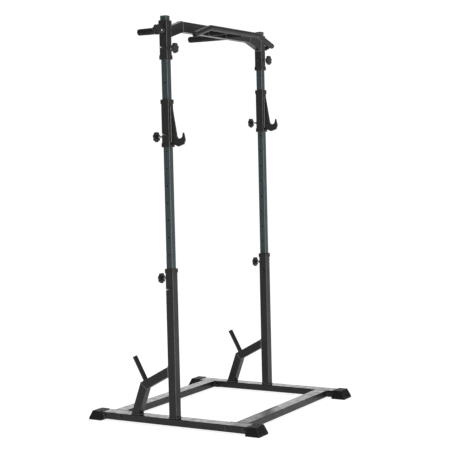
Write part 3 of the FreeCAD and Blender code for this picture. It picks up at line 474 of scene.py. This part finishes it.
def rubber(name, colour, rough):
    """Moulded rubber: matt, slightly dusty, fine pitted skin."""
    n = Nodes(name, gloss=0.15)
    dust = n.remap(n.noise(18, 5, 0.6), 0.4, 0.75, 0.0, 0.5)
    base = n.mix(dust, colour, tuple(c * 1.8 for c in colour))
    rim = n.maths("MULTIPLY", n.edges(0.003), n.remap(n.noise(70, 3), 0.4, 0.6, 0.3, 0.9))
    n.link(n.mix(rim, base, (0.12, 0.12, 0.117)), n.shader.inputs["Base Color"])
    n.link(n.remap(n.noise(90, 2), 0.3, 0.7, rough - 0.06, rough + 0.08), n.shader.inputs["Roughness"])
    n.bump(n.noise(480, 3, 0.6), 0.0003, 0.6)
    return n.material


def foam(name, colour):
    """Closed-cell foam: fine cells with painted shade in their hollows, matt, a little sheen."""
    n = Nodes(name, gloss=0.12)
    cells = n.add("ShaderNodeTexVoronoi", feature="F1")
    cells.inputs["Scale"].default_value = 820
    n.link(n.place, cells.inputs["Vector"])
    pits = n.remap(cells.outputs["Distance"], 0.1, 0.7, 1.0, 0.0)
    tone = n.remap(n.noise(26, 4), 0.35, 0.7, 0.0, 1.0)
    base = n.mix(tone, tuple(c * 0.85 for c in colour), tuple(c * 1.25 for c in colour))
    # Painted shade: the hollows of the cells are darkened.
    pit_shade = n.maths("MULTIPLY", pits, 0.35)
    n.link(n.mix(pit_shade, base, tuple(c * 0.5 for c in colour)), n.shader.inputs["Base Color"])
    n.link(n.remap(n.noise(120, 2), 0.3, 0.7, 0.78, 0.92), n.shader.inputs["Roughness"])
    n.shader.inputs["Sheen Weight"].default_value = 0.12
    n.bump(n.maths("ADD", pits, n.noise(300, 2)), 0.00025, 0.6)
    return n.material


def plastic(name, colour, rough, ridged=False):
    """Injection-moulded plastic: faint erosion texture, flow marks, scuffed edges."""
    n = Nodes(name)
    tone = n.remap(n.noise(30, 3), 0.35, 0.65, 0.0, 1.0)
    base = n.mix(tone, tuple(c * 0.9 for c in colour), tuple(c * 1.15 for c in colour))
    thin = n.maths("MAXIMUM", n.edges(0.0012), n.corners() if ridged else 0.0)
    scuff = n.maths("MULTIPLY", thin, n.remap(n.noise(140, 3), 0.45, 0.6, 0.4, 0.9))
    n.link(n.mix(scuff, base, (0.15, 0.15, 0.145)), n.shader.inputs["Base Color"])
    n.link(n.remap(n.noise(55, 2), 0.3, 0.7, rough - 0.05, rough + 0.08), n.shader.inputs["Roughness"])
    n.bump(n.noise(1100, 2, 0.6), 0.00012, 0.5)
    return n.material


def plated_steel(name, colour, rough, dipped=0.0):
    """Zinc-plated steel: bright, with dull patches; nearer the middle than dipped it is blackened."""
    n = Nodes(name, gloss=0.5)
    patch = n.remap(n.noise(70, 4), 0.4, 0.7, 0.0, 1.0)
    base = n.mix(patch, colour, tuple(c * 0.72 for c in colour))
    rim = n.maths("MULTIPLY", n.edges(0.0015), n.remap(n.noise(160, 3), 0.4, 0.6, 0.3, 0.8))
    base = n.mix(rim, base, (0.72, 0.71, 0.68))
    if dipped:
        split = n.add("ShaderNodeSeparateXYZ")
        n.link(n.place, split.inputs["Vector"])
        out = n.maths("ABSOLUTE", split.outputs["X"], 0)
        base = n.mix(n.remap(out, dipped, dipped + 0.0004, 0.0, 1.0), (0.05, 0.05, 0.048), base)
    n.link(base, n.shader.inputs["Base Color"])
    n.link(n.remap(n.noise(240, 3), 0.3, 0.7, rough - 0.08, rough + 0.14), n.shader.inputs["Roughness"])
    n.shader.inputs["Metallic"].default_value = 1.0
    n.bump(n.noise(900, 2), 0.00008, 0.5)
    return n.material


LOOKS = {
    # The second colour of each powder coat is its painted highlight, laid on edges and upright corners.
    "frame": powder_coat("powder_black", (0.0125, 0.0125, 0.012), (0.15, 0.15, 0.145), 0.34),
    "mast": powder_coat("powder_slate", (0.032, 0.047, 0.050), (0.20, 0.23, 0.23), 0.36),
    # Weld beads: coloured light grey although coated like the black frame, a painted highlight for the
    # shine on their ripples.
    "weld": powder_coat("weld_painted_highlight", (0.15, 0.15, 0.145), (0.28, 0.28, 0.27), 0.28),
    "foot_rubber": rubber("moulded_rubber", (0.0075, 0.0075, 0.0075), 0.62),
    "bolt_steel": plated_steel("black_zinc", (0.045, 0.045, 0.047), 0.45),
    "collar_plastic": plastic("nylon_black", (0.012, 0.012, 0.0115), 0.45, ridged=True),
    "foam": foam("foam_black", (0.0120, 0.0125, 0.0120)),
    "knob_plastic": plastic("knob_black", (0.019, 0.020, 0.020), 0.38),
    "pin_steel": plated_steel("bright_zinc", (0.62, 0.60, 0.56), 0.34, dipped=0.5248),
}


def paint_nodes():
    """Every CAD node keeps its slots' meaning and gets the slot's detailed material."""
    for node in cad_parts.values():
        for place in node.material_slots:
            place.material = LOOKS[place.material.name]


def paint(item, slot):
    item.data.materials.clear()
    item.data.materials.append(LOOKS[slot])


# ---- the object ----

paint_nodes()

beads = [(bead_base(), "base"), (bead_pullup(), "pullup_unit")]
beads += [(bead_hook(name, side), f"hook_{name}") for name, side in SIDES.items()]
for bead, body in beads:
    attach(bead, body)
    paint(bead, "weld")

for grip in make_grips():
    paint(grip, "foam")

for place in ("post", "hook", "top", "side"):
    for name in SIDES:
        body = f"knob_{place}_{name}_body"
        paint(threaded_screw(f"thread_{place}_{name}", f"screw_{place}_{name}", body), "pin_steel")


# ---- floor, light and camera ----


def make_floor():
    bm = bmesh.new()
    bmesh.ops.create_circle(bm, cap_ends=True, segments=96, radius=40)
    floor = new_object("floor", bm, smooth=False)
    n = Nodes("floor_white", gloss=0.1)
    n.link(n.mix(n.noise(0.6, 2), (0.44, 0.44, 0.44), (0.46, 0.46, 0.46)), n.shader.inputs["Base Color"])
    n.shader.inputs["Roughness"].default_value = 0.9
    n.shader.inputs["Emission Color"].default_value = (1, 1, 1, 1)
    n.shader.inputs["Emission Strength"].default_value = 0.88
    floor.data.materials.append(n.material)


def add_light(name, place, aim, size, power):
    data = bpy.data.lights.new(name, "AREA")
    data.shape = "RECTANGLE"
    data.size, data.size_y = size
    data.energy = power
    lamp = bpy.data.objects.new(name, data)
    lamp.location = place
    lamp.rotation_euler = (Vector(aim) - Vector(place)).to_track_quat("-Z", "Y").to_euler()
    lamp.visible_camera = False
    bpy.context.scene.collection.objects.link(lamp)


BRIGHT_SIDE = Vector((0.80, 0.50, 0.12)).normalized()
GLOW_NARROW = 30
GLOW = 2.5
AT_HORIZON = 0.75
OVERHEAD = 0.24
HORIZON_SPAN = 0.35
SEEN_WHITE = 1.05


def world_node(tree, kind, settings, links):
    """A node of the world, with its constants and then its incoming links."""
    node = tree.nodes.new(kind)
    for socket, value in settings.items():
        node.inputs[socket].default_value = value
    for socket, source in links.items():
        tree.links.new(source, node.inputs[socket])
    return node


def world_maths(tree, operation, constants, links):
    node = world_node(tree, "ShaderNodeMath", constants, links)
    node.operation = operation
    return node.outputs[0]


def light_studio():
    """A white surround with a glow behind, lighter at the horizon than overhead, and two soft boxes."""
    world = bpy.data.worlds.new("studio")
    world.use_nodes = True
    tree = world.node_tree
    place = tree.nodes.new("ShaderNodeTexCoord").outputs["Generated"]
    dot = world_node(tree, "ShaderNodeVectorMath", {1: BRIGHT_SIDE}, {0: place})
    dot.operation = "DOT_PRODUCT"
    span = {"From Min": -1.0, "From Max": 1.0, "To Min": 0.0, "To Max": 1.0}
    level = world_node(tree, "ShaderNodeMapRange", span, {"Value": dot.outputs["Value"]})
    steep = world_maths(tree, "POWER", {1: GLOW_NARROW}, {0: level.outputs["Result"]})
    split = world_node(tree, "ShaderNodeSeparateXYZ", {}, {"Vector": place})
    height = world_maths(tree, "ABSOLUTE", {}, {0: split.outputs["Z"]})
    span = {"From Min": 0.0, "From Max": HORIZON_SPAN, "To Min": AT_HORIZON, "To Max": OVERHEAD}
    flat = world_node(tree, "ShaderNodeMapRange", span, {"Value": height})
    lift = world_maths(tree, "MULTIPLY_ADD", {1: GLOW}, {0: steep, 2: flat.outputs["Result"]})
    seen = tree.nodes.new("ShaderNodeLightPath").outputs["Is Camera Ray"]
    pick = world_node(tree, "ShaderNodeMix", {"B": SEEN_WHITE}, {"Factor": seen, "A": lift})
    back = tree.nodes["Background"]
    tree.links.new(pick.outputs["Result"], back.inputs["Strength"])
    back.inputs["Color"].default_value = (1, 1, 1, 1)
    bpy.context.scene.world = world
    add_light("key_side", (-2.7, -4.9, 1.9), (0, 0, 1.2), (1.0, 3.6), 75)
    add_light("top_soft", (0.6, 0.2, 5.6), (0, 0, 0.5), (4.0, 4.0), 45)


def place_camera():
    data = bpy.data.cameras.new("camera")
    data.lens = 94.334
    data.sensor_width = 36
    data.clip_end = 100
    camera = bpy.data.objects.new("camera", data)
    camera.location = (-6.0922, -3.5894, 1.4892)
    camera.rotation_euler = Euler([math.radians(a) for a in (86.91223, 1.34603, -59.80640)], "XYZ")
    bpy.context.scene.collection.objects.link(camera)
    bpy.context.scene.camera = camera


make_floor()
light_studio()
place_camera()
bpy.context.scene.view_settings.view_transform = "Standard"
